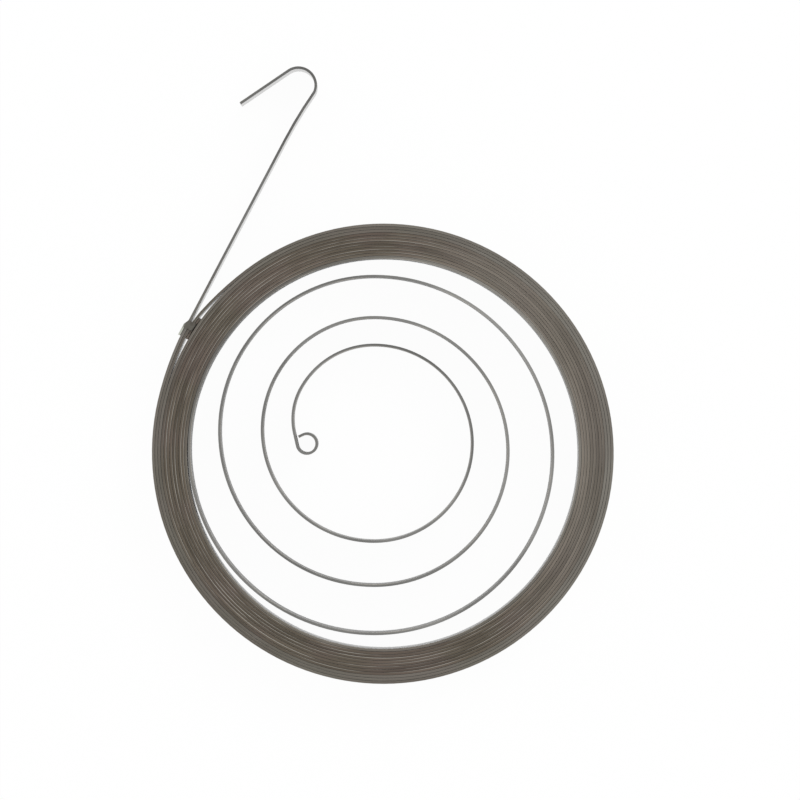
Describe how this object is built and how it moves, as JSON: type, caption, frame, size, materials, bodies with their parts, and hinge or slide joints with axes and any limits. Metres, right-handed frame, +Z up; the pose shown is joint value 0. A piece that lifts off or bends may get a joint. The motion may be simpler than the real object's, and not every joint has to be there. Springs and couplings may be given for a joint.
{
  "type": "recoil starter spring",
  "caption": "Flat spiral power spring of steel strip wound on edge, packed coil, free inner turns, rolled inner eye and hooked outer arm, held wound by a small clip.",
  "frame": {"origin": "the packed coil's axis, on the plane that the strip's lower edge lies on", "axes": "+Z up along the coil's axis and across the strip's width, +Y towards the side where the hook stands out, +X to the right of it seen from above"},
  "size_m": [0.0785, 0.1051, 0.0103],
  "materials": {
    "spring_steel": "hardened and tempered strip, satin grey-brown with a thin film of oil",
    "clip_steel": "bright plated sheet"
  },
  "bodies": {
    "root": {"spring_strip": "spring_steel", "retaining_clip": "clip_steel"}
  },
  "joints": []
}
